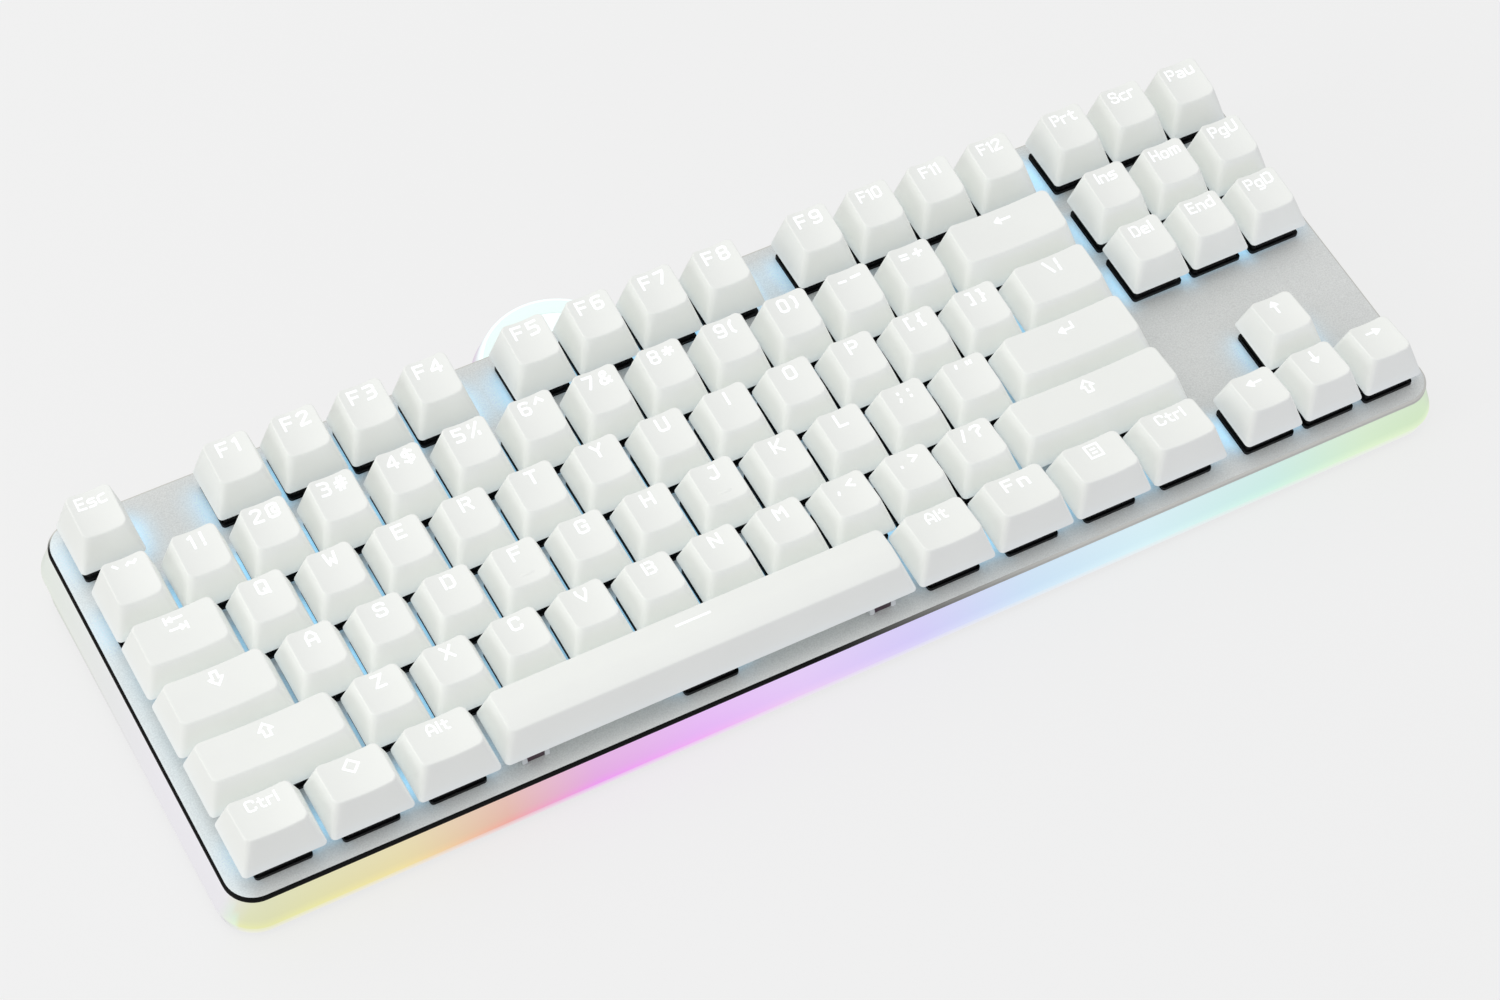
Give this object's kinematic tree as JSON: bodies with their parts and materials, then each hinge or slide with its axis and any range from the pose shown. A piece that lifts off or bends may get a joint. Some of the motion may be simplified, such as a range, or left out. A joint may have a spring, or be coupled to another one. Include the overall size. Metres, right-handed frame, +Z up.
{
  "type": "mechanical keyboard",
  "caption": "Tenkeyless mechanical keyboard with sculpted white keycaps, a metal plate, a frosted glowing case with a round rear light, and fold-out feet.",
  "frame": {"origin": "middle of the bounding box in plan, on the desk surface under the rubber feet", "axes": "+X to the typist's right along the rows, +Y to the back of the keyboard, +Z up from the desk"},
  "size_m": [0.36, 0.1408, 0.0404],
  "materials": {
    "keycap": "satin",
    "frosted_case": "frosted translucent",
    "plate": "sandblasted",
    "board": "solder mask",
    "chip": "moulded",
    "light": "clear",
    "switch_black": "moulded",
    "spring_steel": "bright",
    "contact": "plain",
    "clear_white": "milky",
    "ring_light": "diffuse",
    "steel": "plated",
    "foot_rubber": "matte",
    "foot_plastic": "moulded"
  },
  "bodies": {
    "case": {"bottom_case": "frosted_case", "top_plate": "plate", "circuit_board": "board", "board_chips": "chip", "edge_leds": "light", "key_leds": "light", "switch_lower_housings": "switch_black", "switch_upper_housings": "switch_black", "switch_springs": "spring_steel", "switch_contacts": "contact", "stabiliser_housings": "clear_white", "case_fasteners": "spring_steel", "rear_light_ring": "ring_light", "usb_socket": "steel", "rubber_feet": "foot_rubber"},
    "key_escape": {"key_escape": "keycap"},
    "keys_f1_to_f4": {"keys_f1_to_f4": "keycap"},
    "keys_f5_to_f8": {"keys_f5_to_f8": "keycap"},
    "keys_f9_to_f12": {"keys_f9_to_f12": "keycap"},
    "keys_1qaz": {"keys_1qaz": "keycap"},
    "keys_2wsx": {"keys_2wsx": "keycap"},
    "keys_3edc": {"keys_3edc": "keycap"},
    "keys_4rfv": {"keys_4rfv": "keycap"},
    "keys_5tgb": {"keys_5tgb": "keycap"},
    "keys_6yhn": {"keys_6yhn": "keycap"},
    "keys_7ujm": {"keys_7ujm": "keycap"},
    "keys_8ik_comma": {"keys_8ik_comma": "keycap"},
    "keys_9ol_period": {"keys_9ol_period": "keycap"},
    "keys_0p_semicolon_slash": {"keys_0p_semicolon_slash": "keycap"},
    "keys_minus_equals_brackets_quote": {"keys_minus_equals_brackets_quote": "keycap"},
    "key_grave": {"key_grave": "keycap"},
    "key_backspace": {"key_backspace": "keycap"},
    "key_tab": {"key_tab": "keycap"},
    "key_backslash": {"key_backslash": "keycap"},
    "key_caps_lock": {"key_caps_lock": "keycap"},
    "key_enter": {"key_enter": "keycap"},
    "key_left_shift": {"key_left_shift": "keycap"},
    "key_right_shift": {"key_right_shift": "keycap"},
    "key_left_control": {"key_left_control": "keycap"},
    "key_super": {"key_super": "keycap"},
    "key_left_alt": {"key_left_alt": "keycap"},
    "key_space": {"key_space": "keycap"},
    "key_right_alt": {"key_right_alt": "keycap"},
    "key_function": {"key_function": "keycap"},
    "key_menu": {"key_menu": "keycap"},
    "key_right_control": {"key_right_control": "keycap"},
    "key_up": {"key_up": "keycap"},
    "key_left": {"key_left": "keycap"},
    "key_down": {"key_down": "keycap"},
    "key_right": {"key_right": "keycap"},
    "keys_print_insert_delete": {"keys_print_insert_delete": "keycap"},
    "keys_scroll_home_end": {"keys_scroll_home_end": "keycap"},
    "keys_pause_page_up_down": {"keys_pause_page_up_down": "keycap"},
    "stabiliser_wire_backspace": {"stabiliser_wire_backspace": "spring_steel"},
    "stabiliser_wire_enter": {"stabiliser_wire_enter": "spring_steel"},
    "stabiliser_wire_left_shift": {"stabiliser_wire_left_shift": "spring_steel"},
    "stabiliser_wire_right_shift": {"stabiliser_wire_right_shift": "spring_steel"},
    "stabiliser_wire_space": {"stabiliser_wire_space": "spring_steel"},
    "flip_foot_left": {"flip_foot_left": "foot_plastic"},
    "flip_foot_right": {"flip_foot_right": "foot_plastic"}
  },
  "joints": [
    {"name": "key_escape_travel", "type": "slide", "parent": "case", "child": "key_escape", "axis": [0, 0.0698, -0.9976], "range_m": [0, 0.004], "stiffness_N_per_m": 75, "springref_m": -0.004},
    {"name": "keys_f1_to_f4_travel", "type": "slide", "parent": "case", "child": "keys_f1_to_f4", "axis": [0, 0.0698, -0.9976], "range_m": [0, 0.004], "stiffness_N_per_m": 300, "springref_m": -0.004},
    {"name": "keys_f5_to_f8_travel", "type": "slide", "parent": "case", "child": "keys_f5_to_f8", "axis": [0, 0.0698, -0.9976], "range_m": [0, 0.004], "stiffness_N_per_m": 300, "springref_m": -0.004},
    {"name": "keys_f9_to_f12_travel", "type": "slide", "parent": "case", "child": "keys_f9_to_f12", "axis": [0, 0.0698, -0.9976], "range_m": [0, 0.004], "stiffness_N_per_m": 300, "springref_m": -0.004},
    {"name": "keys_1qaz_travel", "type": "slide", "parent": "case", "child": "keys_1qaz", "axis": [0, 0.0698, -0.9976], "range_m": [0, 0.004], "stiffness_N_per_m": 300, "springref_m": -0.004},
    {"name": "keys_2wsx_travel", "type": "slide", "parent": "case", "child": "keys_2wsx", "axis": [0, 0.0698, -0.9976], "range_m": [0, 0.004], "stiffness_N_per_m": 300, "springref_m": -0.004},
    {"name": "keys_3edc_travel", "type": "slide", "parent": "case", "child": "keys_3edc", "axis": [0, 0.0698, -0.9976], "range_m": [0, 0.004], "stiffness_N_per_m": 300, "springref_m": -0.004},
    {"name": "keys_4rfv_travel", "type": "slide", "parent": "case", "child": "keys_4rfv", "axis": [0, 0.0698, -0.9976], "range_m": [0, 0.004], "stiffness_N_per_m": 300, "springref_m": -0.004},
    {"name": "keys_5tgb_travel", "type": "slide", "parent": "case", "child": "keys_5tgb", "axis": [0, 0.0698, -0.9976], "range_m": [0, 0.004], "stiffness_N_per_m": 300, "springref_m": -0.004},
    {"name": "keys_6yhn_travel", "type": "slide", "parent": "case", "child": "keys_6yhn", "axis": [0, 0.0698, -0.9976], "range_m": [0, 0.004], "stiffness_N_per_m": 300, "springref_m": -0.004},
    {"name": "keys_7ujm_travel", "type": "slide", "parent": "case", "child": "keys_7ujm", "axis": [0, 0.0698, -0.9976], "range_m": [0, 0.004], "stiffness_N_per_m": 300, "springref_m": -0.004},
    {"name": "keys_8ik_comma_travel", "type": "slide", "parent": "case", "child": "keys_8ik_comma", "axis": [0, 0.0698, -0.9976], "range_m": [0, 0.004], "stiffness_N_per_m": 300, "springref_m": -0.004},
    {"name": "keys_9ol_period_travel", "type": "slide", "parent": "case", "child": "keys_9ol_period", "axis": [0, 0.0698, -0.9976], "range_m": [0, 0.004], "stiffness_N_per_m": 300, "springref_m": -0.004},
    {"name": "keys_0p_semicolon_slash_travel", "type": "slide", "parent": "case", "child": "keys_0p_semicolon_slash", "axis": [0, 0.0698, -0.9976], "range_m": [0, 0.004], "stiffness_N_per_m": 300, "springref_m": -0.004},
    {"name": "keys_minus_equals_brackets_quote_travel", "type": "slide", "parent": "case", "child": "keys_minus_equals_brackets_quote", "axis": [0, 0.0698, -0.9976], "range_m": [0, 0.004], "stiffness_N_per_m": 375, "springref_m": -0.004},
    {"name": "key_grave_travel", "type": "slide", "parent": "case", "child": "key_grave", "axis": [0, 0.0698, -0.9976], "range_m": [0, 0.004], "stiffness_N_per_m": 75, "springref_m": -0.004},
    {"name": "key_backspace_travel", "type": "slide", "parent": "case", "child": "key_backspace", "axis": [0, 0.0698, -0.9976], "range_m": [0, 0.004], "stiffness_N_per_m": 75, "springref_m": -0.004},
    {"name": "key_tab_travel", "type": "slide", "parent": "case", "child": "key_tab", "axis": [0, 0.0698, -0.9976], "range_m": [0, 0.004], "stiffness_N_per_m": 75, "springref_m": -0.004},
    {"name": "key_backslash_travel", "type": "slide", "parent": "case", "child": "key_backslash", "axis": [0, 0.0698, -0.9976], "range_m": [0, 0.004], "stiffness_N_per_m": 75, "springref_m": -0.004},
    {"name": "key_caps_lock_travel", "type": "slide", "parent": "case", "child": "key_caps_lock", "axis": [0, 0.0698, -0.9976], "range_m": [0, 0.004], "stiffness_N_per_m": 75, "springref_m": -0.004},
    {"name": "key_enter_travel", "type": "slide", "parent": "case", "child": "key_enter", "axis": [0, 0.0698, -0.9976], "range_m": [0, 0.004], "stiffness_N_per_m": 75, "springref_m": -0.004},
    {"name": "key_left_shift_travel", "type": "slide", "parent": "case", "child": "key_left_shift", "axis": [0, 0.0698, -0.9976], "range_m": [0, 0.004], "stiffness_N_per_m": 75, "springref_m": -0.004},
    {"name": "key_right_shift_travel", "type": "slide", "parent": "case", "child": "key_right_shift", "axis": [0, 0.0698, -0.9976], "range_m": [0, 0.004], "stiffness_N_per_m": 75, "springref_m": -0.004},
    {"name": "key_left_control_travel", "type": "slide", "parent": "case", "child": "key_left_control", "axis": [0, 0.0698, -0.9976], "range_m": [0, 0.004], "stiffness_N_per_m": 75, "springref_m": -0.004},
    {"name": "key_super_travel", "type": "slide", "parent": "case", "child": "key_super", "axis": [0, 0.0698, -0.9976], "range_m": [0, 0.004], "stiffness_N_per_m": 75, "springref_m": -0.004},
    {"name": "key_left_alt_travel", "type": "slide", "parent": "case", "child": "key_left_alt", "axis": [0, 0.0698, -0.9976], "range_m": [0, 0.004], "stiffness_N_per_m": 75, "springref_m": -0.004},
    {"name": "key_space_travel", "type": "slide", "parent": "case", "child": "key_space", "axis": [0, 0.0698, -0.9976], "range_m": [0, 0.004], "stiffness_N_per_m": 75, "springref_m": -0.004},
    {"name": "key_right_alt_travel", "type": "slide", "parent": "case", "child": "key_right_alt", "axis": [0, 0.0698, -0.9976], "range_m": [0, 0.004], "stiffness_N_per_m": 75, "springref_m": -0.004},
    {"name": "key_function_travel", "type": "slide", "parent": "case", "child": "key_function", "axis": [0, 0.0698, -0.9976], "range_m": [0, 0.004], "stiffness_N_per_m": 75, "springref_m": -0.004},
    {"name": "key_menu_travel", "type": "slide", "parent": "case", "child": "key_menu", "axis": [0, 0.0698, -0.9976], "range_m": [0, 0.004], "stiffness_N_per_m": 75, "springref_m": -0.004},
    {"name": "key_right_control_travel", "type": "slide", "parent": "case", "child": "key_right_control", "axis": [0, 0.0698, -0.9976], "range_m": [0, 0.004], "stiffness_N_per_m": 75, "springref_m": -0.004},
    {"name": "key_up_travel", "type": "slide", "parent": "case", "child": "key_up", "axis": [0, 0.0698, -0.9976], "range_m": [0, 0.004], "stiffness_N_per_m": 75, "springref_m": -0.004},
    {"name": "key_left_travel", "type": "slide", "parent": "case", "child": "key_left", "axis": [0, 0.0698, -0.9976], "range_m": [0, 0.004], "stiffness_N_per_m": 75, "springref_m": -0.004},
    {"name": "key_down_travel", "type": "slide", "parent": "case", "child": "key_down", "axis": [0, 0.0698, -0.9976], "range_m": [0, 0.004], "stiffness_N_per_m": 75, "springref_m": -0.004},
    {"name": "key_right_travel", "type": "slide", "parent": "case", "child": "key_right", "axis": [0, 0.0698, -0.9976], "range_m": [0, 0.004], "stiffness_N_per_m": 75, "springref_m": -0.004},
    {"name": "keys_print_insert_delete_travel", "type": "slide", "parent": "case", "child": "keys_print_insert_delete", "axis": [0, 0.0698, -0.9976], "range_m": [0, 0.004], "stiffness_N_per_m": 225, "springref_m": -0.004},
    {"name": "keys_scroll_home_end_travel", "type": "slide", "parent": "case", "child": "keys_scroll_home_end", "axis": [0, 0.0698, -0.9976], "range_m": [0, 0.004], "stiffness_N_per_m": 225, "springref_m": -0.004},
    {"name": "keys_pause_page_up_down_travel", "type": "slide", "parent": "case", "child": "keys_pause_page_up_down", "axis": [0, 0.0698, -0.9976], "range_m": [0, 0.004], "stiffness_N_per_m": 225, "springref_m": -0.004},
    {"name": "stabiliser_wire_backspace_pivot", "type": "hinge", "parent": "case", "child": "stabiliser_wire_backspace", "pos_m": [0.09287, 0.01198, 0.01796], "axis": [-1, 0, 0], "range_deg": [0, 31]},
    {"name": "stabiliser_wire_enter_pivot", "type": "hinge", "parent": "case", "child": "stabiliser_wire_enter", "pos_m": [0.09049, -0.02602, 0.0153], "axis": [-1, 0, 0], "range_deg": [0, 31]},
    {"name": "stabiliser_wire_left_shift_pivot", "type": "hinge", "parent": "case", "child": "stabiliser_wire_left_shift", "pos_m": [-0.1524, -0.04503, 0.01397], "axis": [-1, 0, 0], "range_deg": [0, 31]},
    {"name": "stabiliser_wire_right_shift_pivot", "type": "hinge", "parent": "case", "child": "stabiliser_wire_right_shift", "pos_m": [0.08572, -0.04503, 0.01397], "axis": [-1, 0, 0], "range_deg": [0, 31]},
    {"name": "stabiliser_wire_space_pivot", "type": "hinge", "parent": "case", "child": "stabiliser_wire_space", "pos_m": [-0.04286, -0.06403, 0.01265], "axis": [-1, 0, 0], "range_deg": [0, 31]},
    {"name": "flip_foot_left_hinge", "type": "hinge", "parent": "case", "child": "flip_foot_left", "pos_m": [-0.118, 0.04075, 0.0035], "axis": [1, 0, 0], "range_deg": [0, 90]},
    {"name": "flip_foot_right_hinge", "type": "hinge", "parent": "case", "child": "flip_foot_right", "pos_m": [0.118, 0.04075, 0.0035], "axis": [1, 0, 0], "range_deg": [0, 90]}
  ],
  "couplings": [
    {"joint": "stabiliser_wire_backspace_pivot", "follows": "key_backspace_travel", "rad_per_m": 133.15},
    {"joint": "stabiliser_wire_enter_pivot", "follows": "key_enter_travel", "rad_per_m": 133.15},
    {"joint": "stabiliser_wire_left_shift_pivot", "follows": "key_left_shift_travel", "rad_per_m": 133.15},
    {"joint": "stabiliser_wire_right_shift_pivot", "follows": "key_right_shift_travel", "rad_per_m": 133.15},
    {"joint": "stabiliser_wire_space_pivot", "follows": "key_space_travel", "rad_per_m": 133.15}
  ]
}
